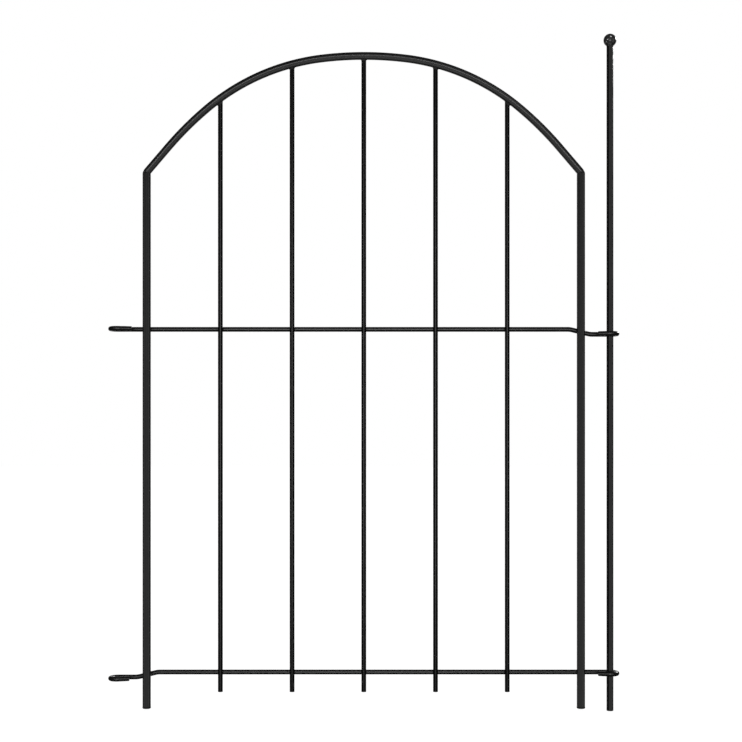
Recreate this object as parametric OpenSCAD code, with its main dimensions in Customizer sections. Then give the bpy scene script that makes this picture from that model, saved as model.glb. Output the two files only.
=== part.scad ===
// Low garden gate: an arched wire-and-tube leaf that swings on a ball-topped ground stake.
// Millimetres, +Z up. The origin is the stake's axis at its foot, the leaf lies along -X,
// and its front faces -Y. The two rails run behind the posts and the pickets, and each rail
// ends in an eye bent from its own wire: the right-hand pair turns on the stake, and the
// left-hand pair drops over the stake of the next panel.

/* [Leaf] */
// Distance from the stake's axis to the axis of the eyes at the far end of the leaf
eye_pitch = 609.6; // [600:0.1:620]
// Distance between the axes of the two posts
post_pitch = 537.7; // [530:0.1:545]
// Height of the flat feet of the posts above the foot of the stake
foot_z = 2.7; // [1:0.1:6]
// Height of the arch's centre line at its crown
crown_z = 810.75; // [790:0.05:830]
// Height of the upper rail's centre line
upper_rail_z = 472.8; // [440:0.1:520]
// Height of the lower rail's centre line
lower_rail_z = 46.6; // [44:0.1:70]

/* [Tube] */
// Outside diameter of the arch
tube_d = 9.5; // [9:0.1:12]
// Outside diameter of the posts
post_d = 10.2; // [9:0.1:12]
// Wall thickness of the posts and the arch
tube_wall = 1; // [0.8:0.1:1.5]
// Centre line radius of the arch's crown
crown_r = 430; // [400:5:470]
// Centre line radius of the arch's two shoulders
shoulder_r = 270; // [255:1:280]
// Centre line radius of the arch's two haunches
haunch_r = 420; // [380:5:440]

/* [Pickets] */
// Diameter of the wire of the pickets
picket_d = 6; // [4:0.1:6.5]
// Distance between the axes of neighbouring pickets
picket_pitch = 88.9; // [80:0.1:90]
// Height of the cut lower ends of the pickets
picket_foot_z = 23; // [10:0.1:35]

/* [Rails] */
// Diameter of the wire of the rails
rail_d = 6; // [4:0.1:6.1]
// Inside diameter of the eyes
eye_bore_d = 11; // [10.5:0.1:14]
// Angle that the wire wraps round each eye
eye_wrap = 198; // [185:1:205]
// Length of the straight tail past each eye
eye_tail = 13; // [10:0.5:14]
// Length of the tail past the upper left-hand eye, whose wire is cut a little longer
long_tail = 16; // [10:0.5:18]
// Step in height that lets the eyes of neighbouring panels stack
jog_drop = 6.2; // [5.5:0.1:8]
// Slope of the step in degrees
jog_slope = 14; // [12:1:20]
// Bend radius at the two ends of the step
jog_r = 25; // [15:1:30]

/* [Stake] */
// Diameter of the stake
stake_d = 8.5; // [6:0.1:9]
// Height of the stake to the top of its ball
stake_h = 838; // [830:1:860]
// Diameter of the ball on the stake
ball_d = 16; // [14:0.5:20]

/* [Joints between parts] */
// Gap between crossing bars, which the weld beads bridge
weld_gap = 0.15; // [0.1:0.05:0.3]
// Radius of the weld beads at the rails
rail_bead_r = 3.9; // [3.2:0.1:4.4]
// Radius of the weld beads under the arch
arch_bead_r = 4; // [3.2:0.1:4.4]
// Radial clearance between the ball's bore and the stake
ball_clearance = 0.05; // [0.02:0.01:0.1]

/* [Hidden] */
$fn = 64;

coat = [0.13, 0.13, 0.13];
bead_coat = [0.16, 0.16, 0.16];
plug_black = [0.08, 0.08, 0.08];

tube_r = tube_d / 2;
bore_r = tube_r - tube_wall;
post_r = post_d / 2;
post_bore_r = post_r - tube_wall;
picket_r = picket_d / 2;
rail_r = rail_d / 2;
stake_r = stake_d / 2;
ball_r = ball_d / 2;
ball_z = stake_h - ball_r;
rod_top_z = ball_z + 2;
half_span = post_pitch / 2;
mid_x = -eye_pitch / 2;

// The eyes' centre line passes through the rail's own line, which lies behind the stake.
eye_r = eye_bore_d / 2 + rail_r;
rail_y = eye_r;
// The posts and the pickets lie against the front of the rails, and the arch is in line with the posts.
bar_back_y = rail_y - rail_r - weld_gap;
tube_y = bar_back_y - post_r;
picket_y = bar_back_y - picket_r;

// Arch centre line, as an offset from the crown: x outwards, z upwards, angles from the crown.
a_crown = 7;
a_shoulder = 40;
a_end = 49.5;
function polar(r, a) = [r * sin(a), r * cos(a)];
c_crown = [0, -crown_r];
c_shoulder = c_crown + polar(crown_r - shoulder_r, a_crown);
c_haunch = c_shoulder + polar(shoulder_r - haunch_r, a_shoulder);
p_end = c_haunch + polar(haunch_r, a_end);
leg_len = (half_span - p_end[0]) / cos(a_end);
corner = p_end + leg_len * [cos(a_end), -sin(a_end)];
corner_z = crown_z + corner[1];
mitre_tilt = (90 - a_end) / 2;

// Height of the arch's centre line above a point at a distance d from the middle, and its slope there.
function arc_z(c, r, d) = c[1] + sqrt(r * r - (d - c[0]) * (d - c[0]));
function arch_z(d) = crown_z + (
    d < crown_r * sin(a_crown) ? arc_z(c_crown, crown_r, d)
    : d < (c_shoulder + polar(shoulder_r, a_shoulder))[0] ? arc_z(c_shoulder, shoulder_r, d)
    : arc_z(c_haunch, haunch_r, d));
function arch_slope(d) =
    d < crown_r * sin(a_crown) ? asin(d / crown_r)
    : d < (c_shoulder + polar(shoulder_r, a_shoulder))[0] ? asin((d - c_shoulder[0]) / shoulder_r)
    : asin((d - c_haunch[0]) / haunch_r);

// Places of the bars along the leaf.
left_x = mid_x - half_span;
right_x = mid_x + half_span;
picket_off = [for (i = [-2 : 2]) i * picket_pitch];
bar_x = concat([left_x], [for (d = picket_off) mid_x + d], [right_x]);

// The step in a rail: two bends with a straight slope between them, centred on a post.
jog_run = (jog_drop - 2 * jog_r * (1 - cos(jog_slope))) / sin(jog_slope);
jog_half = jog_r * sin(jog_slope) + jog_run * cos(jog_slope) / 2;

end_chamfer = 0.4;
// The bends are drawn thinner than the straights by this much, as bent wire and tube are.
bend_thin = 0.02;
// How far each bend runs on inside the straights next to it.
lap = 0.35;

// A straight bar along +Z with a chamfer of c1 at its start and c2 at its end.
module bar(r, len, c1, c2) {
    rotate_extrude() polygon([[0, 0], [r - c1, 0], if (c1 > 0) [r, c1],
                              if (c2 > 0) [r, len - c2], [r - c2, len], [0, len]]);
}

// A bend in the XY plane about the origin, from angle a1 to a2, lapping into its neighbours.
module bend(radius, a1, a2, outer, inner = 0) {
    extra = lap / radius * 180 / PI;
    rotate([0, 0, a1 - extra]) rotate_extrude(angle = a2 - a1 + 2 * extra)
        translate([radius, 0]) difference() {
            circle(r = outer);
            if (inner > 0) circle(r = inner);
        }
}

// One arc of the arch in the plane of the leaf, between two angles from the crown.
module arch_arc(c, radius, a1, a2, outer, inner = 0) {
    translate([mid_x + c[0], tube_y, crown_z + c[1]]) rotate([90, 0, 0])
        bend(radius, 90 - a2, 90 - a1, outer, inner);
}

// The same arc on the left-hand side of the arch.
module left_arch_arc(c, radius, a1, a2, outer, inner = 0) {
    translate([mid_x - c[0], tube_y, crown_z + c[1]]) rotate([90, 0, 0])
        bend(radius, 90 + a1, 90 + a2, outer, inner);
}

// A straight end of the arch, from its haunch down to the mitre. s is 1 on the right.
module arch_leg(s) {
    difference() {
        translate([mid_x + s * p_end[0], tube_y, crown_z + p_end[1]]) rotate([0, s * (90 + a_end), 0])
            difference() {
                cylinder(r = tube_r, h = leg_len + 2 * tube_d);
                translate([0, 0, -1]) cylinder(r = bore_r, h = leg_len + 2 * tube_d + 2);
            }
        translate([mid_x + s * corner[0], tube_y, corner_z]) rotate([0, -s * mitre_tilt, 0])
            translate([-40, -30, -60]) cube([80, 60, 60]);
    }
}

module arch_tube() {
    thin = bend_thin;
    color(coat) {
        arch_arc(c_crown, crown_r, -a_crown, a_crown, tube_r - thin, bore_r + thin);
        arch_arc(c_shoulder, shoulder_r, a_crown, a_shoulder, tube_r, bore_r);
        left_arch_arc(c_shoulder, shoulder_r, a_crown, a_shoulder, tube_r, bore_r);
        arch_arc(c_haunch, haunch_r, a_shoulder, a_end, tube_r - thin, bore_r + thin);
        left_arch_arc(c_haunch, haunch_r, a_shoulder, a_end, tube_r - thin, bore_r + thin);
        arch_leg(1);
        arch_leg(-1);
    }
}

// The part of the arch above a picket at a distance d from the middle, as a solid bar.
module arch_above(d, r) {
    if (abs(d) < crown_r * sin(a_crown)) arch_arc(c_crown, crown_r, -a_crown, a_crown, r);
    else if (d > 0) arch_arc(c_shoulder, shoulder_r, a_crown, a_shoulder, r);
    else left_arch_arc(c_shoulder, shoulder_r, a_crown, a_shoulder, r);
}

// A post: a tube from its plug up to the mitre at the arch. s is 1 for the right-hand post.
module post(x, s) {
    head = 2;
    color(coat) difference() {
        translate([x, tube_y, foot_z + head]) cylinder(r = post_r, h = corner_z - foot_z + post_d);
        translate([x, tube_y, foot_z]) cylinder(r = post_bore_r, h = corner_z + 2 * post_d);
        translate([x, tube_y, corner_z]) rotate([0, -s * mitre_tilt, 0])
            translate([-40, -30, 0]) cube([80, 60, 60]);
    }
}

// The plastic plug in the foot of a post: a chamfered head on a short shank.
module post_plug(x) {
    head = 2;
    head_r = post_r + 0.15;
    chamfer = 0.9;
    shank_r = post_bore_r - 0.05;
    color(plug_black) translate([x, tube_y, foot_z]) rotate_extrude()
        polygon([[0, 0], [head_r - chamfer, 0], [head_r, chamfer], [head_r, head],
                 [shank_r, head], [shank_r, head + 7], [shank_r - 0.6, head + 8.5], [0, head + 8.5]]);
}

// Height of the arch's underside above a picket.
function arch_under(d) = arch_z(abs(d)) - tube_r / cos(arch_slope(abs(d)));
// How far the pickets reach above that, into their seats in the arch's side.
picket_seat = 1.2;

// A picket: its top is cut off just above the underside of the arch and coped to seat on it.
module picket_bar(d) {
    color(coat) difference() {
        translate([mid_x + d, picket_y, picket_foot_z])
            bar(picket_r, arch_under(d) + picket_seat - picket_foot_z, end_chamfer, 0);
        arch_above(d, tube_r + weld_gap);
    }
}

// The eye at the end of a rail: a bend round the stake and a straight tail that closes on the
// rail. side is 1 at the stake and -1 at the far end.
module eye(x, z, side, tail = eye_tail) {
    a = 90 - eye_wrap;
    translate([x, 0, z]) mirror([side < 0 ? 1 : 0, 0, 0]) {
        bend(eye_r, a, 90, rail_r - bend_thin);
        translate([eye_r * cos(a), eye_r * sin(a), 0]) rotate([0, 0, a - 90]) rotate([0, 90, 0])
            bar(rail_r, tail, 0, end_chamfer);
    }
}

// The step in a rail, falling to the right for side 1 and to the left for side -1.
module jog(x, z, side) {
    translate([x, rail_y, z]) mirror([side < 0 ? 1 : 0, 0, 0]) {
        // Upper bend, from level down to the slope.
        translate([-jog_half, 0, -jog_r]) rotate([90, 0, 0])
            bend(jog_r, 90 - jog_slope, 90, rail_r - bend_thin);
        jog_straight();
        // Lower bend, from the slope back to level.
        translate([jog_half, 0, jog_r - jog_drop]) rotate([90, 0, 0])
            bend(jog_r, 270 - jog_slope, 270, rail_r - bend_thin);
    }
}

// The straight slope through the middle of a step that falls to the right.
module jog_straight() {
    translate([0, 0, -jog_drop / 2]) rotate([0, 90 + jog_slope, 0])
        translate([0, 0, -jog_run / 2]) cylinder(r = rail_r, h = jog_run);
}

// A level run of rail between two places along the leaf.
module level(x1, x2, z) {
    translate([x1, rail_y, z]) rotate([0, 90, 0]) cylinder(r = rail_r, h = x2 - x1);
}

module upper_rail() {
    color(coat) {
        eye(-eye_pitch, upper_rail_z, -1, long_tail);
        level(-eye_pitch, right_x - jog_half, upper_rail_z);
        jog(right_x, upper_rail_z, 1);
        level(right_x + jog_half, 0, upper_rail_z - jog_drop);
        eye(0, upper_rail_z - jog_drop, 1);
    }
}

module lower_rail() {
    color(coat) {
        eye(-eye_pitch, lower_rail_z - jog_drop, -1);
        level(-eye_pitch, left_x - jog_half, lower_rail_z - jog_drop);
        jog(left_x, lower_rail_z, -1);
        level(left_x + jog_half, 0, lower_rail_z);
        eye(0, lower_rail_z, 1);
    }
}

// The weld beads along one rail at height z, one where each bar crosses it. step is the number
// of the bar where the rail has its step, and side the way it falls.
module rail_welds(z, step, side) {
    $fn = 240;
    color(bead_coat) for (i = [0 : 6]) {
        post = i == 0 || i == 6;
        difference() {
            translate([bar_x[i], bar_back_y + weld_gap / 2, i == step ? z - jog_drop / 2 : z])
                rotate([20, 30, 0]) sphere(r = rail_bead_r);
            translate([bar_x[i], post ? tube_y : picket_y, z - 20])
                cylinder(r = post ? post_r : picket_r, h = 40);
            if (i == step)
                translate([bar_x[i], rail_y, z]) mirror([side < 0 ? 1 : 0, 0, 0]) jog_straight();
            else
                level(bar_x[i] - 20, bar_x[i] + 20, z);
        }
    }
}

// The weld beads that hold the tops of the pickets under the arch.
module arch_welds() {
    $fn = 240;
    color(bead_coat) for (d = picket_off) difference() {
        translate([mid_x + d, picket_y, arch_under(d)]) sphere(r = arch_bead_r);
        translate([mid_x + d, picket_y, arch_under(d) - 40]) cylinder(r = picket_r, h = 40 + picket_seat);
        arch_above(d, tube_r);
    }
}

module stake_rod() {
    color(coat) bar(stake_r, rod_top_z, 0.8, 0.5);
}

// The ball, with a blind bore that takes the top of the rod.
module stake_ball() {
    color(coat) difference() {
        translate([0, 0, ball_z]) sphere(r = ball_r);
        translate([0, 0, ball_z - 2 * ball_r])
            cylinder(r = stake_r + ball_clearance, h = rod_top_z + ball_clearance - ball_z + 2 * ball_r);
    }
}

stake_rod();
stake_ball();
post(left_x, -1);  // left_post
post(right_x, 1);  // right_post
arch_tube();
picket_bar(picket_off[0]);  // picket_1
picket_bar(picket_off[1]);  // picket_2
picket_bar(picket_off[2]);  // picket_3
picket_bar(picket_off[3]);  // picket_4
picket_bar(picket_off[4]);  // picket_5
upper_rail();
lower_rail();
rail_welds(upper_rail_z, 6, 1);  // upper_rail_welds
rail_welds(lower_rail_z, 0, -1);  // lower_rail_welds
arch_welds();
post_plug(left_x);  // left_post_plug
post_plug(right_x);  // right_post_plug
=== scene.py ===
import math

import bmesh
import bpy
import numpy as np
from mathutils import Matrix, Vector


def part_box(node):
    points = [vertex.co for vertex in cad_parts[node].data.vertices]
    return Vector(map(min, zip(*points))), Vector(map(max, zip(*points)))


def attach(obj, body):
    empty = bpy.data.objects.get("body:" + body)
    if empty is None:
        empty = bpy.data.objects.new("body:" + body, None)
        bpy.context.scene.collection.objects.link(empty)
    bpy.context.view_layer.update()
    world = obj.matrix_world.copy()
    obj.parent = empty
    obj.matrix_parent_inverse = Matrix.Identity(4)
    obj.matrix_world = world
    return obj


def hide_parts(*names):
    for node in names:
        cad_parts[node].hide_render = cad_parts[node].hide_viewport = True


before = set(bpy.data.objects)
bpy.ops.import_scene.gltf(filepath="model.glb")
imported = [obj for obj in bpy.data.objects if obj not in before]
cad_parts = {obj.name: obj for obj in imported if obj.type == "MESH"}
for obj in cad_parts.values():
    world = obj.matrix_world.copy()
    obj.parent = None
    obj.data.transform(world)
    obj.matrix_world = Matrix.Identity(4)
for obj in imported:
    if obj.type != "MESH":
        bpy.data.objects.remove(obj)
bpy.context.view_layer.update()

# ---------------------------------------------------------------------------
# Dimensions, in millimetres, as the CAD has them. Places are read from the frame.
# ---------------------------------------------------------------------------
M = 0.001
TUBE_R, POST_R, WIRE_R, STAKE_R, BALL_R = 4.75, 5.1, 3.0, 4.25, 8.0
EYE_R, EYE_WRAP, EYE_TAIL, LONG_TAIL = 8.5, 198.0, 13.0, 16.0
JOG_DROP, JOG_SLOPE, JOG_R = 6.2, 14.0, 25.0
GAP = 0.15
CROWN_R, SHOULDER_R, HAUNCH_R = 430.0, 270.0, 420.0
A_CROWN, A_SHOULDER, A_END = 7.0, 40.0, 49.5


def node_box(name):
    lo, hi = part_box(name)
    return np.array(lo) / M, np.array(hi) / M


def centre(name):
    lo, hi = node_box(name)
    return (lo + hi) / 2


LEFT_X = centre("left_post_plug")[0]
RIGHT_X = centre("right_post_plug")[0]
TUBE_Y = centre("right_post_plug")[1]
FOOT_Z = node_box("right_post_plug")[0][2]
MID_X = (LEFT_X + RIGHT_X) / 2
HALF = (RIGHT_X - LEFT_X) / 2
EYE_PITCH = -2 * MID_X
PICKET_X = [centre(f"picket_{i}")[0] for i in range(1, 6)]
PICKET_Y = centre("picket_3")[1]
PICKET_FOOT = node_box("picket_3")[0][2]
PICKET_TOP = [node_box(f"picket_{i}")[1][2] for i in range(1, 6)]
RAIL_Y = EYE_R
CROWN_Z = node_box("arch_tube")[1][2] - TUBE_R + 0.02
UPPER_Z = node_box("upper_rail")[1][2] - WIRE_R
LOWER_Z = node_box("lower_rail")[1][2] - WIRE_R
BALL_Z = node_box("stake_ball")[1][2] - BALL_R
ROD_TOP = node_box("stake_rod")[1][2]


def rad(a):
    return math.radians(a)


def polar(r, a):
    return np.array([r * math.sin(rad(a)), r * math.cos(rad(a))])


C_CROWN = np.array([0.0, -CROWN_R])
C_SHOULDER = C_CROWN + polar(CROWN_R - SHOULDER_R, A_CROWN)
C_HAUNCH = C_SHOULDER + polar(SHOULDER_R - HAUNCH_R, A_SHOULDER)
P_END = C_HAUNCH + polar(HAUNCH_R, A_END)
LEG = (HALF - P_END[0]) / math.cos(rad(A_END))
CORNER = P_END + LEG * np.array([math.cos(rad(A_END)), -math.sin(rad(A_END))])
CORNER_Z = CROWN_Z + CORNER[1]
TILT = (90 - A_END) / 2


def arch_at(d):
    """Height of the arch's centre line and its slope in degrees at a distance d from the middle."""
    d = abs(d)
    if d < CROWN_R * math.sin(rad(A_CROWN)):
        c, r = C_CROWN, CROWN_R
    elif d < (C_SHOULDER + polar(SHOULDER_R, A_SHOULDER))[0]:
        c, r = C_SHOULDER, SHOULDER_R
    else:
        c, r = C_HAUNCH, HAUNCH_R
    return (
        CROWN_Z + c[1] + math.sqrt(r * r - (d - c[0]) ** 2),
        math.degrees(math.asin((d - c[0]) / r)),
    )


# ---------------------------------------------------------------------------
# Mesh helpers
# ---------------------------------------------------------------------------
def noise3(p, seed=0):
    """Smooth value noise in about -1..1 at points p (n, 3), from a fixed lattice hash."""
    p = np.asarray(p, float)
    i = np.floor(p).astype(np.int64)
    f = p - i
    f = f * f * (3 - 2 * f)

    def h(ix, iy, iz):
        n = (ix * 73856093) ^ (iy * 19349663) ^ (iz * 83492791) ^ (seed * 2654435761)
        n = (n ^ (n >> 13)) * 1274126177 & 0x7FFFFFFF
        return (n ^ (n >> 16)) % 65536 / 32768.0 - 1.0

    out = 0
    for dx in (0, 1):
        for dy in (0, 1):
            for dz in (0, 1):
                w = (
                    (f[:, 0] if dx else 1 - f[:, 0])
                    * (f[:, 1] if dy else 1 - f[:, 1])
                    * (f[:, 2] if dz else 1 - f[:, 2])
                )
                out = out + w * h(i[:, 0] + dx, i[:, 1] + dy, i[:, 2] + dz)
    return out


def make_object(name, verts_mm, faces, smooth=True, sharp=40):
    mesh = bpy.data.meshes.new(name)
    mesh.from_pydata((np.asarray(verts_mm) * M).tolist(), [], faces)
    bm = bmesh.new()
    bm.from_mesh(mesh)
    bmesh.ops.remove_doubles(bm, verts=bm.verts, dist=1e-7)
    bmesh.ops.recalc_face_normals(bm, faces=bm.faces)
    bm.to_mesh(mesh)
    bm.free()
    mesh.polygons.foreach_set("use_smooth", [smooth] * len(mesh.polygons))
    if smooth and sharp:
        mesh.set_sharp_from_angle(angle=rad(sharp))
    obj = bpy.data.objects.new(name, mesh)
    bpy.context.scene.collection.objects.link(obj)
    return obj


def frames(points):
    """Tangents and turning-free side vectors along a polyline."""
    p = np.asarray(points, float)
    t = np.zeros_like(p)
    t[1:-1] = p[2:] - p[:-2]
    t[0], t[-1] = p[1] - p[0], p[-1] - p[-2]
    t /= np.linalg.norm(t, axis=1)[:, None]
    a = np.array([0, 1, 0.0]) if abs(t[0][1]) < 0.9 else np.array([0, 0, 1.0])
    u = a - a.dot(t[0]) * t[0]
    u /= np.linalg.norm(u)
    us = [u]
    for i in range(1, len(p)):
        u = us[-1] - us[-1].dot(t[i]) * t[i]
        us.append(u / np.linalg.norm(u))
    us = np.array(us)
    return t, us, np.cross(t, us)


def sweep(points, radius, n=40, end0=("round", 0.5), end1=("round", 0.5), wobble=None):
    """A closed tube along points. An end is ("round", edge radius) or ("plane", point, normal)."""
    p = np.asarray(points, float)
    t, u, v = frames(p)
    ang = np.linspace(0, 2 * math.pi, n, endpoint=False)
    rings = []

    def ring(c, tu, tv, r):
        r = np.broadcast_to(r, (n,))
        return c + (np.cos(ang) * r)[:, None] * tu + (np.sin(ang) * r)[:, None] * tv

    def radius_at(i):
        r = radius if np.isscalar(radius) else radius[i]
        return r if wobble is None else r + wobble(i, ang)

    def round_end(c, tt, tu, tv, r, e, out):
        """Rings from the start of the rounded edge to the flat end. out is the outward direction."""
        made = []
        for a in np.linspace(0, math.pi / 2, 7)[1:]:
            made.append(
                ring(c - out * e * (1 - math.sin(a)), tu, tv, r - e * (1 - math.cos(a)))
            )
        for k in (0.72, 0.4):
            made.append(ring(c, tu, tv, (r - e) * k))
        return made

    first, last = [], []
    i0, i1 = 0, len(p)
    if end0[0] == "round":
        e = end0[1]
        c = p[0].copy()
        first = round_end(c, t[0], u[0], v[0], radius_at(0), e, -t[0])
        first.reverse()
        p[0] = c + t[0] * e
        centre0 = c
    if end1[0] == "round":
        e = end1[1]
        c = p[-1].copy()
        last = round_end(c, t[-1], u[-1], v[-1], radius_at(len(p) - 1), e, t[-1])
        p[-1] = c - t[-1] * e
        centre1 = c
    body = [ring(p[i], u[i], v[i], radius_at(i)) for i in range(i0, i1)]

    def to_plane(rg, tt, c, nrm):
        c, nrm = np.asarray(c, float), np.asarray(nrm, float)
        s = ((c - rg) @ nrm) / tt.dot(nrm)
        return rg + s[:, None] * tt

    if end0[0] == "plane":
        body[0] = to_plane(body[0], t[0], end0[1], end0[2])
        centre0 = body[0].mean(0)
        first = [centre0 + (body[0] - centre0) * k for k in (0.4, 0.8)]
    if end1[0] == "plane":
        body[-1] = to_plane(body[-1], t[-1], end1[1], end1[2])
        centre1 = body[-1].mean(0)
        last = [centre1 + (body[-1] - centre1) * k for k in (0.8, 0.4)]
    rings = first + body + last
    verts = np.concatenate(rings + [centre0[None], centre1[None]])
    m = len(rings)
    faces = []
    for i in range(m - 1):
        for j in range(n):
            k = (j + 1) % n
            faces.append((i * n + j, i * n + k, (i + 1) * n + k, (i + 1) * n + j))
    a, b = m * n, m * n + 1
    for j in range(n):
        k = (j + 1) % n
        faces.append((a, k, j))
        faces.append((b, (m - 1) * n + j, (m - 1) * n + k))
    return verts, faces


def lathe(profile, c, n=64):
    """A closed solid of revolution about the vertical through c. profile is (r, z) from axis to axis."""
    pr = np.asarray(profile, float)
    ang = np.linspace(0, 2 * math.pi, n, endpoint=False)
    verts, faces, idx = [], [], []
    for r, z in pr:
        if r < 1e-9:
            idx.append([len(verts)])
            verts.append([c[0], c[1], z])
        else:
            s = len(verts)
            idx.append(list(range(s, s + n)))
            verts += [[c[0] + r * math.cos(a), c[1] + r * math.sin(a), z] for a in ang]
    for p, q in zip(idx, idx[1:]):
        for j in range(n):
            k = (j + 1) % n
            if len(p) == 1 and len(q) > 1:
                faces.append((p[0], q[k], q[j]))
            elif len(q) == 1 and len(p) > 1:
                faces.append((p[j], p[k], q[0]))
            elif len(p) > 1:
                faces.append((p[j], p[k], q[k], q[j]))
    return np.array(verts), faces


def surface_nets(field, lo, hi, h):
    """The closed surface field = 0 inside the box lo..hi, on a grid of step h. field is negative inside."""
    lo, hi = np.asarray(lo, float), np.asarray(hi, float)
    shape = np.ceil((hi - lo) / h).astype(int) + 1
    axes = [lo[k] + h * np.arange(shape[k]) for k in range(3)]
    g = np.stack(np.meshgrid(*axes, indexing="ij"), -1)
    F = field(g.reshape(-1, 3)).reshape(shape)
    F[0], F[-1], F[:, 0], F[:, -1], F[:, :, 0], F[:, :, -1] = (1.0,) * 6
    cs = tuple(s - 1 for s in F.shape)
    acc, num = np.zeros(cs + (3,)), np.zeros(cs)
    for ax in range(3):
        o1, o2 = [k for k in range(3) if k != ax]
        for a in (0, 1):
            for b in (0, 1):
                s0 = [slice(0, cs[k]) for k in range(3)]
                s0[o1], s0[o2] = slice(a, a + cs[o1]), slice(b, b + cs[o2])
                s1 = list(s0)
                s1[ax] = slice(1, 1 + cs[ax])
                f0, f1 = F[tuple(s0)], F[tuple(s1)]
                x = (f0 < 0) != (f1 < 0)
                t = np.where(x, f0 / np.where(f0 == f1, 1, f0 - f1), 0)
                pos = np.zeros(cs + (3,))
                pos[..., ax], pos[..., o1], pos[..., o2] = t, a, b
                acc += pos * x[..., None]
                num += x
    on = num > 0
    ids = -np.ones(cs, int)
    ids[on] = np.arange(on.sum())
    verts = lo + h * (np.argwhere(on) + acc[on] / num[on][:, None])
    faces = []
    for ax in range(3):
        o1, o2 = [(1, 2), (2, 0), (0, 1)][ax]
        s0 = [slice(1, -1)] * 3
        s0[ax] = slice(0, cs[ax])
        s1 = list(s0)
        s1[ax] = slice(1, cs[ax] + 1)
        a, b = F[tuple(s0)] < 0, F[tuple(s1)] < 0
        for flip, mask in ((False, a & ~b), (True, ~a & b)):
            q = np.argwhere(mask)
            q[:, o1] += 1
            q[:, o2] += 1
            quad = []
            for d1, d2 in ((1, 1), (0, 1), (0, 0), (1, 0)):
                c = q.copy()
                c[:, o1] -= d1
                c[:, o2] -= d2
                quad.append(ids[c[:, 0], c[:, 1], c[:, 2]])
            quad = np.stack(quad if not flip else quad[::-1], 1)
            faces += quad.tolist()
    return verts, faces


def merge(parts):
    verts, faces, base = [], [], 0
    for v, f in parts:
        verts.append(np.asarray(v))
        faces += [tuple(i + base for i in q) for q in f]
        base += len(v)
    return np.concatenate(verts), faces


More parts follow.
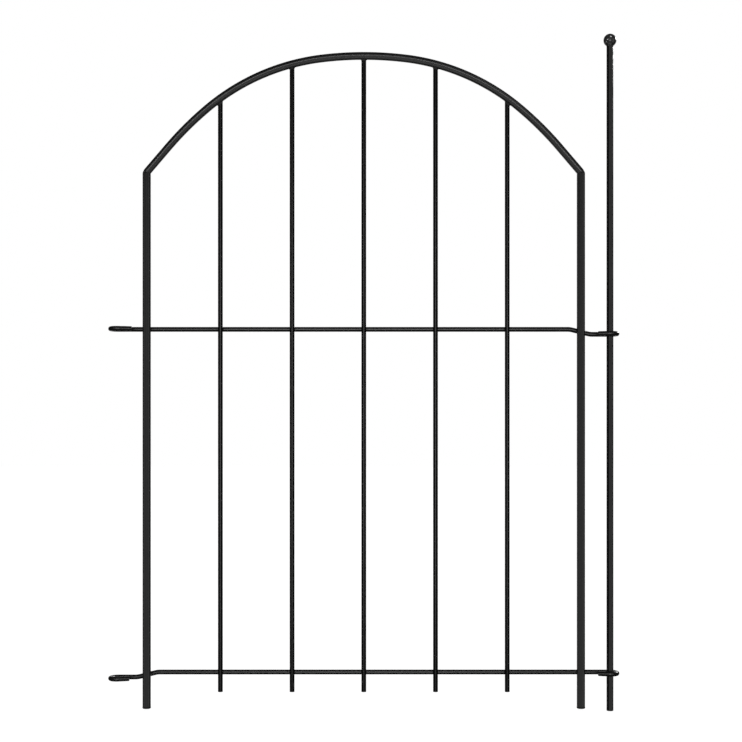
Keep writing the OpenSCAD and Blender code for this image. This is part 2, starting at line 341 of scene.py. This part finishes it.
# ---------------------------------------------------------------------------
# Materials
# ---------------------------------------------------------------------------
def powder_coat(name, dark, light, rough, peel=1.0, seed=0.0, specular=0.5, rubs=()):
    """Semi-gloss black powder coat: a slight cloudiness, fine grain, orange peel, thin scuffed
    edges, and in rubs the height bands where another piece slides on it."""
    mat = bpy.data.materials.new(name)
    mat.use_nodes = True
    nt = mat.node_tree
    n, link = nt.nodes, nt.links
    for x in list(n):
        n.remove(x)
    out = n.new("ShaderNodeOutputMaterial")
    bsdf = n.new("ShaderNodeBsdfPrincipled")
    link.new(bsdf.outputs["BSDF"], out.inputs["Surface"])
    bsdf.inputs["Specular IOR Level"].default_value = specular
    bsdf.inputs["IOR"].default_value = 1.5
    tc = n.new("ShaderNodeTexCoord")
    mp = n.new("ShaderNodeMapping")
    mp.inputs["Location"].default_value = (seed, seed * 0.37, seed * 0.71)
    link.new(tc.outputs["Object"], mp.inputs["Vector"])

    def noise(scale, detail, roughness=0.5, distortion=0.0):
        x = n.new("ShaderNodeTexNoise")
        x.inputs["Scale"].default_value = scale
        x.inputs["Detail"].default_value = detail
        x.inputs["Roughness"].default_value = roughness
        x.inputs["Distortion"].default_value = distortion
        link.new(mp.outputs["Vector"], x.inputs["Vector"])
        return x

    cloud, grain, peel_n, fine = (
        noise(38, 3, 0.55),
        noise(2600, 2, 0.6),
        noise(760, 1.5, 0.5, 0.2),
        noise(3400, 1, 0.5),
    )
    both = n.new("ShaderNodeMath")
    both.operation = "MULTIPLY_ADD"
    link.new(grain.outputs["Fac"], both.inputs[0])
    both.inputs[1].default_value = 0.55
    link.new(cloud.outputs["Fac"], both.inputs[2])
    ramp = n.new("ShaderNodeValToRGB")
    ramp.color_ramp.elements[0].position = 0.45
    ramp.color_ramp.elements[0].color = (*dark, 1)
    ramp.color_ramp.elements[1].position = 1.05
    ramp.color_ramp.elements[1].color = (*light, 1)
    link.new(both.outputs[0], ramp.inputs["Fac"])

    def math_node(op, x, y):
        m = n.new("ShaderNodeMath")
        m.operation = op
        for k, val in enumerate((x, y)):
            if isinstance(val, (int, float)):
                m.inputs[k].default_value = val
            else:
                link.new(val, m.inputs[k])
        return m.outputs[0]

    def window(value, a0, a1, b0=0.0, b1=1.0, smooth=True):
        m = n.new("ShaderNodeMapRange")
        m.interpolation_type = "SMOOTHSTEP" if smooth else "LINEAR"
        m.inputs["From Min"].default_value, m.inputs["From Max"].default_value = a0, a1
        m.inputs["To Min"].default_value, m.inputs["To Max"].default_value = b0, b1
        link.new(value, m.inputs["Value"])
        return m.outputs["Result"]

    geo = n.new("ShaderNodeNewGeometry")
    edge = window(geo.outputs["Pointiness"], 0.56, 0.66)
    wear = math_node("MULTIPLY", edge, window(noise(420, 4, 0.6).outputs["Fac"], 0.46, 0.62))
    if rubs:
        sep = n.new("ShaderNodeSeparateXYZ")
        link.new(tc.outputs["Object"], sep.inputs[0])
        streak_map = n.new("ShaderNodeMapping")
        streak_map.inputs["Scale"].default_value = (1.0, 1.0, 6.0)
        link.new(tc.outputs["Object"], streak_map.inputs["Vector"])
        streaks = n.new("ShaderNodeTexNoise")
        streaks.inputs["Scale"].default_value = 520
        streaks.inputs["Detail"].default_value = 4
        link.new(streak_map.outputs["Vector"], streaks.inputs["Vector"])
        band = None
        for z0, z1 in rubs:
            up = window(sep.outputs["Z"], z0, z0 + 0.003)
            down = window(sep.outputs["Z"], z1 - 0.006, z1, 1.0, 0.0)
            both_ways = math_node("MULTIPLY", up, down)
            band = both_ways if band is None else math_node("MAXIMUM", band, both_ways)
        rub = math_node("MULTIPLY", band, window(streaks.outputs["Fac"], 0.42, 0.66))
        wear = math_node("MAXIMUM", wear, math_node("MULTIPLY", rub, 0.8))
    worn = n.new("ShaderNodeMix")
    worn.data_type = "RGBA"
    link.new(wear, worn.inputs["Factor"])
    link.new(ramp.outputs["Color"], worn.inputs["A"])
    worn.inputs["B"].default_value = (0.042, 0.041, 0.040, 1)
    link.new(worn.outputs["Result"], bsdf.inputs["Base Color"])
    cloudy = window(cloud.outputs["Fac"], 0.3, 0.7, rough - 0.05, rough + 0.06, False)
    link.new(math_node("ADD", cloudy, math_node("MULTIPLY", wear, 0.10)), bsdf.inputs["Roughness"])
    h = n.new("ShaderNodeMath")
    h.operation = "MULTIPLY_ADD"
    link.new(fine.outputs["Fac"], h.inputs[0])
    h.inputs[1].default_value = 0.22
    link.new(peel_n.outputs["Fac"], h.inputs[2])
    bump = n.new("ShaderNodeBump")
    bump.inputs["Strength"].default_value = 0.55
    bump.inputs["Distance"].default_value = 0.000008 * peel
    link.new(h.outputs[0], bump.inputs["Height"])
    link.new(bump.outputs["Normal"], bsdf.inputs["Normal"])
    return mat


def moulded_plastic(name, dark, light, rough):
    """Satin black moulded plastic with a fine spark-eroded texture."""
    mat = bpy.data.materials.new(name)
    mat.use_nodes = True
    nt = mat.node_tree
    n, link = nt.nodes, nt.links
    for x in list(n):
        n.remove(x)
    out = n.new("ShaderNodeOutputMaterial")
    bsdf = n.new("ShaderNodeBsdfPrincipled")
    link.new(bsdf.outputs["BSDF"], out.inputs["Surface"])
    bsdf.inputs["Specular IOR Level"].default_value = 0.4
    tc = n.new("ShaderNodeTexCoord")
    texture = n.new("ShaderNodeTexVoronoi")
    texture.inputs["Scale"].default_value = 2600
    link.new(tc.outputs["Object"], texture.inputs["Vector"])
    cloud = n.new("ShaderNodeTexNoise")
    cloud.inputs["Scale"].default_value = 320
    cloud.inputs["Detail"].default_value = 3
    link.new(tc.outputs["Object"], cloud.inputs["Vector"])
    ramp = n.new("ShaderNodeValToRGB")
    ramp.color_ramp.elements[0].position = 0.35
    ramp.color_ramp.elements[0].color = (*dark, 1)
    ramp.color_ramp.elements[1].position = 0.7
    ramp.color_ramp.elements[1].color = (*light, 1)
    link.new(cloud.outputs["Fac"], ramp.inputs["Fac"])
    link.new(ramp.outputs["Color"], bsdf.inputs["Base Color"])
    rr = n.new("ShaderNodeMapRange")
    rr.inputs["To Min"].default_value = rough - 0.06
    rr.inputs["To Max"].default_value = rough + 0.08
    link.new(cloud.outputs["Fac"], rr.inputs["Value"])
    link.new(rr.outputs["Result"], bsdf.inputs["Roughness"])
    bump = n.new("ShaderNodeBump")
    bump.inputs["Strength"].default_value = 0.4
    bump.inputs["Distance"].default_value = 0.00003
    link.new(texture.outputs["Distance"], bump.inputs["Height"])
    link.new(bump.outputs["Normal"], bsdf.inputs["Normal"])
    return mat


COAT = powder_coat("frame_powder_coat", (0.0125, 0.0125, 0.0128), (0.0185, 0.0185, 0.0185), 0.27, 1.0, 0.13)
WIRE = powder_coat("wire_powder_coat", (0.0105, 0.0105, 0.0108), (0.0165, 0.0165, 0.0165), 0.24, 0.6, 1.7)
STAKE = powder_coat(
    "stake_powder_coat", (0.0125, 0.0125, 0.0128), (0.0185, 0.0185, 0.0185), 0.24, 0.7, 3.1,
    rubs=((0.036, 0.062), (0.456, 0.482)),
)
WELD = powder_coat("weld_powder_coat", (0.0125, 0.0125, 0.0128), (0.021, 0.021, 0.021), 0.32, 1.8, 5.9, 0.45)
PLUG = moulded_plastic("plug_plastic", (0.014, 0.014, 0.0145), (0.02, 0.02, 0.0205), 0.5)


pieces = []


def finish_piece(obj, mat, body, slot, *nodes):
    obj.data.materials.append(mat)
    pieces.append(obj)
    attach(obj, body)
    if nodes:
        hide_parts(*nodes)
    return obj


# ---------------------------------------------------------------------------
# Stake: rod and ball
# ---------------------------------------------------------------------------
zs = np.concatenate([[0.0, 1.2], np.arange(12, ROD_TOP - 6, 12), [ROD_TOP - 1, ROD_TOP]])
v, f = sweep([[0, 0, z] for z in zs], STAKE_R, 48, ("round", 0.8), ("round", 0.5))
finish_piece(make_object("stake_rod_coated", v, f), STAKE, "stake", "stake_coat", "stake_rod")

# The ball: a full sphere that runs into a short weld collar on the rod, with the rod's bore inside.
collar_r = STAKE_R + 0.34
profile = [(0.0, BALL_Z + BALL_R)]
a_join = 180 - math.degrees(math.asin((collar_r + 0.55) / BALL_R))
for a in np.linspace(0, a_join, 56)[1:]:
    profile.append((BALL_R * math.sin(rad(a)), BALL_Z + BALL_R * math.cos(rad(a))))
z_join = BALL_Z + BALL_R * math.cos(rad(a_join))
z_lip = z_join - 0.85
p0, p1, p2 = np.array([BALL_R * math.sin(rad(a_join)), z_join]), np.array([collar_r - 0.06, z_join - 0.3]), np.array([collar_r - 0.14, z_lip + 0.2])
for t in np.linspace(0, 1, 8)[1:]:
    q = (1 - t) ** 2 * p0 + 2 * t * (1 - t) * p1 + t * t * p2
    profile.append((q[0], q[1]))
profile += [(STAKE_R + 0.2, z_lip + 0.04), (STAKE_R + 0.1, z_lip), (STAKE_R + 0.05, z_lip + 0.05)]
profile += [(STAKE_R + 0.05, ROD_TOP + 0.05), (0.0, ROD_TOP + 0.05)]
v, f = lathe(profile, (0, 0), 72)
finish_piece(make_object("stake_ball_coated", v, f, sharp=50), STAKE, "finial", "stake_coat", "stake_ball")

# ---------------------------------------------------------------------------
# Posts, arch and the seams between them. The tubes meet in a tight knee, whose two halves
# belong to the post and to the arch.
# ---------------------------------------------------------------------------
KNEE_R = 5.6
KNEE_T = KNEE_R * math.tan(rad(TILT))


def knee(x, s):
    """Centre line of a knee from the post to the seam and from the seam to the arch, both upwards."""
    c = np.array([x - s * KNEE_R, TUBE_Y, CORNER_Z - KNEE_T])
    pts = [c + KNEE_R * np.array([s * math.cos(rad(a)), 0, math.sin(rad(a))]) for a in np.linspace(0, 2 * TILT, 17)]
    return pts[:9], pts[8:]


for x, s, name in ((LEFT_X, -1, "left_post"), (RIGHT_X, 1, "right_post")):
    z0 = node_box(name)[0][2]
    bend = knee(x, s)[0]
    zs = np.concatenate([[z0, z0 + 0.8], np.arange(z0 + 14, CORNER_Z - KNEE_T - 4, 14)])
    nrm = (-s * math.sin(rad(TILT)), 0, math.cos(rad(TILT)))
    radii = [POST_R] * (len(zs) + len(bend) - 4) + [POST_R - 0.06, POST_R - 0.2, TUBE_R - 0.3, TUBE_R - 0.36]
    v, f = sweep(
        [[x, TUBE_Y, z] for z in zs] + bend, radii, 56, ("round", 0.3), ("plane", bend[-1], nrm),
    )
    finish_piece(make_object(name + "_coated", v, f), COAT, "leaf", "frame_coat", name)


def arch_point(a):
    """A point of the right half of the arch by angle from the crown, as offset and height."""
    if a <= A_CROWN:
        return C_CROWN + polar(CROWN_R, a)
    if a <= A_SHOULDER:
        return C_SHOULDER + polar(SHOULDER_R, a)
    return C_HAUNCH + polar(HAUNCH_R, a)


right_half = [arch_point(a) for a in np.concatenate([np.arange(0, 49.5, 0.5), [49.5]])]
leg_end = CORNER - (CORNER - P_END) / LEG * KNEE_T
for t in np.linspace(0, 1, 6)[1:-1]:
    right_half.append(P_END + (leg_end - P_END) * t)
right_half = np.array(right_half)
path = np.concatenate([right_half[:0:-1] * [-1, 1], right_half])
left_knee, right_knee = knee(LEFT_X, -1)[1], knee(RIGHT_X, 1)[1]
pts = left_knee + [[MID_X + q[0], TUBE_Y, CROWN_Z + q[1]] for q in path] + right_knee[::-1]
radii = [TUBE_R - 0.01] * len(pts)
for k, cut in enumerate((0.36, 0.34, 0.08)):
    radii[k] = radii[-1 - k] = TUBE_R - cut
v, f = sweep(
    pts, radii, 56,
    ("plane", left_knee[0], (math.sin(rad(TILT)), 0, math.cos(rad(TILT)))),
    ("plane", right_knee[0], (-math.sin(rad(TILT)), 0, math.cos(rad(TILT)))),
)
finish_piece(make_object("arch_tube_coated", v, f), COAT, "leaf", "frame_coat", "arch_tube")

# The seam in each knee: weld metal ground almost flush, then coated over.
for x, s, name in ((LEFT_X, -1, "left_knee_seam"), (RIGHT_X, 1, "right_knee_seam")):
    along = np.array([math.cos(rad(TILT)), 0, s * math.sin(rad(TILT))])
    up = np.cross(along, [0, 1, 0])
    n_ring, n_sec = 112, 12
    rings = []
    for i in range(n_ring):
        a = 2 * math.pi * i / n_ring
        out = along * math.cos(a) + np.array([0, 1, 0]) * math.sin(a)
        inner = max(0.0, -s * math.cos(a)) ** 3
        lump = noise3(np.array([[i * 0.35, s * 3.0, 0.5], [i * 0.16, s * 5.0, 2.5]]), 4)
        r = 0.50 + 0.06 * lump[0]
        c = np.array(knee(x, s)[1][0]) + out * (TUBE_R - 0.22 - 0.1 * inner) + up * 0.12 * lump[1]
        rings.append([c + out * r * math.cos(b) + up * 0.9 * r * math.sin(b) for b in np.linspace(0, 2 * math.pi, n_sec, endpoint=False)])
    v = np.array(rings).reshape(-1, 3)
    f = [
        (i * n_sec + j, i * n_sec + (j + 1) % n_sec, ((i + 1) % n_ring) * n_sec + (j + 1) % n_sec, ((i + 1) % n_ring) * n_sec + j)
        for i in range(n_ring)
        for j in range(n_sec)
    ]
    finish_piece(make_object(name, v, f), COAT, "leaf", "frame_coat")

# ---------------------------------------------------------------------------
# Pickets: sheared at the foot, seated under the arch
# ---------------------------------------------------------------------------
for i, x in enumerate(PICKET_X):
    top = PICKET_TOP[i]
    zs = np.concatenate([[PICKET_FOOT, PICKET_FOOT + 0.9], np.arange(PICKET_FOOT + 12, top - 6, 12), [top - 1, top]])
    v, f = sweep([[x, PICKET_Y, z] for z in zs], WIRE_R, 36, ("round", 0.45), ("round", 0.3))
    finish_piece(make_object(f"picket_{i + 1}_coated", v, f), WIRE, "leaf", "wire_coat", f"picket_{i + 1}")

# ---------------------------------------------------------------------------
# Rails: one wire each, eye, run, step, run, eye
# ---------------------------------------------------------------------------
def eye_path(x, z, side, tail=EYE_TAIL):
    """From the rail's own line round the eye to the end of the tail. side is 1 at the stake."""
    out = []
    for a in np.linspace(90, 90 - EYE_WRAP, 67)[1:]:
        out.append([x + side * EYE_R * math.cos(rad(a)), EYE_R * math.sin(rad(a)), z])
    a = 90 - EYE_WRAP
    d = np.array([side * math.sin(rad(a)), -math.cos(rad(a)), 0])
    for t in np.linspace(0, 1, 8)[1:]:
        out.append(list(np.array(out[65]) + d * tail * t))
    return out


def jog_path(x, z, side):
    """Through a step that falls to the right (1) or to the left (-1), from left to right."""
    s, c = math.sin(rad(JOG_SLOPE)), math.cos(rad(JOG_SLOPE))
    run = (JOG_DROP - 2 * JOG_R * (1 - c)) / s
    half = JOG_R * s + run * c / 2
    up = [[-half + JOG_R * math.sin(rad(b)), -JOG_R * (1 - math.cos(rad(b)))] for b in np.linspace(0, JOG_SLOPE, 10)]
    down = [[half - JOG_R * math.sin(rad(b)), -JOG_DROP + JOG_R * (1 - math.cos(rad(b)))] for b in np.linspace(JOG_SLOPE, 0, 10)]
    pts = [[x + side * p[0], RAIL_Y, z + p[1]] for p in up + down]
    return pts if side > 0 else pts[::-1], half


def run_path(x0, x1, z):
    n = max(2, int(abs(x1 - x0) / 8))
    return [[x0 + (x1 - x0) * t, RAIL_Y, z] for t in np.linspace(0, 1, n + 1)]


def dedupe(p):
    out = [p[0]]
    for q in p[1:]:
        if math.dist(out[-1], q) > 0.05:
            out.append(q)
    return out


jog_u, half = jog_path(RIGHT_X, UPPER_Z, 1)
upper = (
    eye_path(-EYE_PITCH, UPPER_Z, -1, LONG_TAIL)[::-1]
    + run_path(-EYE_PITCH, RIGHT_X - half, UPPER_Z)
    + jog_u
    + run_path(RIGHT_X + half, 0, UPPER_Z - JOG_DROP)
    + eye_path(0, UPPER_Z - JOG_DROP, 1)
)
jog_l, half = jog_path(LEFT_X, LOWER_Z, -1)
lower = (
    eye_path(-EYE_PITCH, LOWER_Z - JOG_DROP, -1)[::-1]
    + run_path(-EYE_PITCH, LEFT_X - half, LOWER_Z - JOG_DROP)
    + jog_l
    + run_path(LEFT_X + half, 0, LOWER_Z)
    + eye_path(0, LOWER_Z, 1)
)
for name, p in (("upper_rail", upper), ("lower_rail", lower)):
    v, f = sweep(dedupe(p), WIRE_R, 36, ("round", 0.45), ("round", 0.45))
    finish_piece(make_object(name + "_coated", v, f), WIRE, "leaf", "wire_coat", name)

# ---------------------------------------------------------------------------
# Welds: fillets between the bars that cross or meet
# ---------------------------------------------------------------------------
def smin(a, b, k):
    h = np.clip(k - np.abs(a - b), 0, None) / k
    return np.minimum(a, b) - h * h * k / 4


def line_distance(p, c, d, r):
    """Distance outside a round bar of radius r through c along d."""
    d = np.asarray(d, float) / np.linalg.norm(d)
    q = p - np.asarray(c)
    return np.linalg.norm(q - (q @ d)[:, None] * d, axis=1) - r


def crossing_weld(x, bar_y, bar_r, z, slope, k, seed):
    c = np.array([x, (bar_y + bar_r + RAIL_Y - WIRE_R) / 2, z])
    d = (math.cos(rad(slope)), 0, -math.sin(rad(slope)))

    def field(p):
        bar = line_distance(p, (x, bar_y, 0), (0, 0, 1), bar_r)
        rail = line_distance(p, (x, RAIL_Y, z), d, WIRE_R)
        lump = 0.10 * noise3(p / 1.1 + 11.3 * seed, seed) + 0.05 * noise3(p / 0.45, seed + 7)
        blob = np.linalg.norm((p - c) * [1, 1.1, 1], axis=1) - bar_r * 0.5 - 1.15
        f = smin(smin(bar, rail, k), blob, 1.1) + 0.07 + lump
        keep = np.linalg.norm((p - c), axis=1) - (bar_r + 2.3)
        return np.maximum(f, keep)

    r = bar_r + 2.8
    return surface_nets(field, c - r, c + r, 0.2)


def tee_weld(d, i):
    """The fillet where a picket meets the underside of the arch."""
    zc, slope = arch_at(d)
    s = slope if d > 0 else -slope
    x = MID_X + d
    top = PICKET_TOP[i]
    c = np.array([x, (PICKET_Y + TUBE_Y) / 2 + 0.4, zc - TUBE_R / math.cos(rad(slope))])
    direction = (math.cos(rad(s)), 0, -math.sin(rad(s)))

    def field(p):
        tube = line_distance(p, (x, TUBE_Y, zc), direction, TUBE_R)
        bar = np.maximum(line_distance(p, (x, PICKET_Y, 0), (0, 0, 1), WIRE_R), p[:, 2] - top)
        lump = 0.11 * noise3(p / 1.2 + 5.1 * i, 20 + i) + 0.05 * noise3(p / 0.5, 30 + i)
        f = smin(tube, bar, 2.3) + 0.08 + lump
        keep = np.linalg.norm(p - c, axis=1) - 5.2
        return np.maximum(f, keep)

    return surface_nets(field, c - 5.6, c + 5.6, 0.2)


bars = [(LEFT_X, TUBE_Y, POST_R)] + [(x, PICKET_Y, WIRE_R) for x in PICKET_X] + [(RIGHT_X, TUBE_Y, POST_R)]
for rail, z, step, side in (("upper", UPPER_Z, 6, 1), ("lower", LOWER_Z, 0, -1)):
    parts = []
    for i, (x, y, r) in enumerate(bars):
        zz = z - JOG_DROP / 2 if i == step else z
        slope = side * JOG_SLOPE if i == step else 0
        parts.append(crossing_weld(x, y, r, zz, slope, 2.7 if r > 4 else 2.1, i + (40 if side > 0 else 50)))
    v, f = merge(parts)
    obj = make_object(f"{rail}_rail_weld_beads", v, f, sharp=None)
    finish_piece(obj, WELD, "leaf", "weld_coat", f"{rail}_rail_welds")
v, f = merge([tee_weld(x - MID_X, i) for i, x in enumerate(PICKET_X)])
finish_piece(make_object("arch_weld_beads", v, f, sharp=None), WELD, "leaf", "weld_coat", "arch_welds")

# ---------------------------------------------------------------------------
# Plugs in the feet of the posts
# ---------------------------------------------------------------------------
for x, name in ((LEFT_X, "left_post_plug"), (RIGHT_X, "right_post_plug")):
    R, e, z0 = POST_R + 0.15, 1.35, FOOT_Z
    profile = [(0, z0 + 0.25), (0.7, z0 + 0.25), (0.95, z0 + 0.06), (1.1, z0)]
    profile += [(R - e + e * math.sin(rad(a)), z0 + e - e * math.cos(rad(a))) for a in np.linspace(0, 90, 12)]
    profile += [(R, z0 + 1.9), (R - 0.1, z0 + 2.0), (POST_R - 1.05, z0 + 2.0)]
    profile += [(POST_R - 1.05, z0 + 9.0), (POST_R - 1.65, z0 + 10.5), (0, z0 + 10.5)]
    v, f = lathe(profile, (x, TUBE_Y), 64)
    finish_piece(make_object(name + "_moulded", v, f, sharp=45), PLUG, "leaf", "plug_plastic", name)

# ---------------------------------------------------------------------------
# Floor, light, camera
# ---------------------------------------------------------------------------
scene = bpy.context.scene
scene.view_settings.view_transform = "Standard"
scene.view_settings.look = "None"
scene.view_settings.exposure = 0.0
scene.view_settings.gamma = 1.0

bpy.ops.mesh.primitive_plane_add(size=40, location=(-0.3, 0, 0))
floor = bpy.context.object
floor.name = "floor"
fm = bpy.data.materials.new("pale_floor")
fm.use_nodes = True
fm.node_tree.nodes["Principled BSDF"].inputs["Base Color"].default_value = (0.93, 0.93, 0.93, 1)
fm.node_tree.nodes["Principled BSDF"].inputs["Roughness"].default_value = 0.95
fm.node_tree.nodes["Principled BSDF"].inputs["Specular IOR Level"].default_value = 0.0
floor.data.materials.append(fm)
floor.visible_glossy = False
floor.visible_diffuse = False
floor.visible_shadow = False

world = bpy.data.worlds.new("studio")
scene.world = world
world.use_nodes = True
wn, wl = world.node_tree.nodes, world.node_tree.links
for x in list(wn):
    wn.remove(x)
wo = wn.new("ShaderNodeOutputWorld")
lp = wn.new("ShaderNodeLightPath")
mix = wn.new("ShaderNodeMixShader")
b_room, b_seen = wn.new("ShaderNodeBackground"), wn.new("ShaderNodeBackground")
b_room.inputs["Color"].default_value = (0.02, 0.02, 0.02, 1)
b_room.inputs["Strength"].default_value = 1.0
b_seen.inputs["Color"].default_value = (1, 1, 1, 1)
b_seen.inputs["Strength"].default_value = 1.0
wl.new(lp.outputs["Is Camera Ray"], mix.inputs["Fac"])
wl.new(b_room.outputs[0], mix.inputs[1])
wl.new(b_seen.outputs[0], mix.inputs[2])
wl.new(mix.outputs[0], wo.inputs["Surface"])

lit_floor = bpy.data.collections.new("lit_by_floor_light")
lit_floor.objects.link(floor)


def lit_group(name, *starts):
    group = bpy.data.collections.new(name)
    for piece in pieces:
        if piece.name.startswith(starts):
            group.objects.link(piece)
    return group


TUBES = ("left_", "right_", "arch_")
WIRES = ("picket", "upper_rail", "lower_rail")
lit_gate = lit_group("lit_all", "stake", *TUBES, *WIRES)
lit_tubes = lit_group("lit_tubes", *TUBES)
lit_arch = lit_group("lit_arch", "arch_tube", "left_knee", "right_knee")
lit_stake = lit_group("lit_stake", "stake")
lit_ball = lit_group("lit_ball", "stake_ball")
lit_wires = lit_group("lit_wires", *WIRES)
lit_rails = lit_group("lit_rails", "upper_rail", "lower_rail")
lit_bright = lit_group("lit_by_rim_lamp", "stake", "upper_rail", "lower_rail")
TARGET = Vector((-0.3048, 0.0, 0.42))


def softbox(name, azimuth, elevation, distance, w, h, radiance, lit=lit_gate, target=TARGET):
    """A rectangular softbox of even radiance. Azimuth 0 is the front (-Y), 90 the right (+X)."""
    data = bpy.data.lights.new(name, "AREA")
    data.shape = "RECTANGLE"
    data.size, data.size_y = w, h
    data.energy = radiance * math.pi * w * h
    o = bpy.data.objects.new(name, data)
    scene.collection.objects.link(o)
    a, e = rad(azimuth), rad(elevation)
    o.location = target + Vector((math.sin(a) * math.cos(e), -math.cos(a) * math.cos(e), math.sin(e))) * distance
    o.rotation_euler = (target - o.location).to_track_quat("-Z", "Y").to_euler()
    o.visible_camera = False
    o.light_linking.receiver_collection = lit
    return o


# The round tubes stand in a wide, even wall of light. The arch also has brighter bars above and below.
softbox("tube_front", 0, -8, 3.0, 3.4, 3.3, 0.53, lit_tubes)
softbox("tube_left", -62, -12, 2.8, 2.9, 2.9, 0.53, lit_tubes)
softbox("tube_right", 62, -8, 2.8, 2.9, 3.1, 0.53, lit_tubes)
softbox("tube_strip", 60, -4, 2.6, 0.30, 3.0, 0.70, lit_tubes)
softbox("tube_bounce", 0, -64, 2.8, 3.4, 2.0, 0.53, lit_tubes)
softbox("arch_low_bar", 0, -41, 2.8, 3.6, 0.25, 2.6, lit_arch)
softbox("arch_bar", 2, 19, 2.8, 3.4, 0.36, 5.6, lit_arch)
softbox("arch_key", 45, 50, 2.8, 1.2, 1.0, 0.7, lit_arch)
# The stake takes the same wall from the front and the right.
softbox("stake_front", -6, 0, 3.0, 3.4, 3.4, 0.70, lit_stake)
softbox("stake_right", 58, -2, 2.8, 2.0, 3.4, 0.70, lit_stake)
# The ball mirrors small lamps round about and the pale ground.
softbox("ball_left_lamp", -44, 14, 2.8, 0.30, 0.32, 80.0, lit_ball)
softbox("ball_top_lamp", 26, 59, 2.6, 0.34, 0.30, 85.0, lit_ball)
softbox("ball_front_lamp", 3, -10, 2.9, 0.34, 0.30, 26.0, lit_ball)
softbox("ball_side_lamp", -80, -18, 2.8, 0.34, 0.40, 30.0, lit_ball)
softbox("ball_bounce", 5, -70, 2.6, 3.0, 2.2, 0.8, lit_ball)
# The wires are caught by a narrower box, so that their sides stay dark.
softbox("wire_front", 0, 1, 3.0, 1.0, 1.5, 2.8, lit_wires)
softbox("wire_fill", 0, -8, 2.6, 3.4, 2.6, 0.12, lit_wires)
softbox("rail_bar", 0, 2, 3.0, 5.2, 0.7, 3.0, lit_rails)
# A small lamp behind and above rims the ball and the eyes; wide soft walls light the back.
softbox("rim_lamp", 129, 27, 2.8, 0.40, 0.40, 90.0, lit_bright)
softbox("rear", 180, 4, 3.0, 3.0, 3.0, 0.7)
softbox("tube_rear_left", -141, -4, 2.8, 2.1, 3.0, 0.50, lit_tubes)
softbox("tube_rear_right", 150, -4, 2.8, 1.2, 3.0, 0.30, lit_tubes)
softbox("stake_rear_right", 141, -4, 2.8, 2.1, 3.0, 0.45, lit_stake)

# The floor has a light of its own, so that it stays an even white.
sun = bpy.data.lights.new("floor_light", "SUN")
sun.energy = 3.6
sun.angle = rad(60)
sun.use_shadow = False
sun_o = bpy.data.objects.new("floor_light", sun)
scene.collection.objects.link(sun_o)
sun_o.rotation_euler = (rad(12), rad(6), 0)
sun_o.light_linking.receiver_collection = lit_floor

cam_data = bpy.data.cameras.new("camera")
cam_data.sensor_width = 36.0
cam_data.lens = 70.40
cam_data.shift_y = 0.0997
cam = bpy.data.objects.new("camera", cam_data)
scene.collection.objects.link(cam)
cam.location = (-0.29587, -1.7966, 0.329)
cam.rotation_euler = (math.radians(90), 0, 0)
cam_data.clip_start, cam_data.clip_end = 0.05, 100
scene.camera = cam
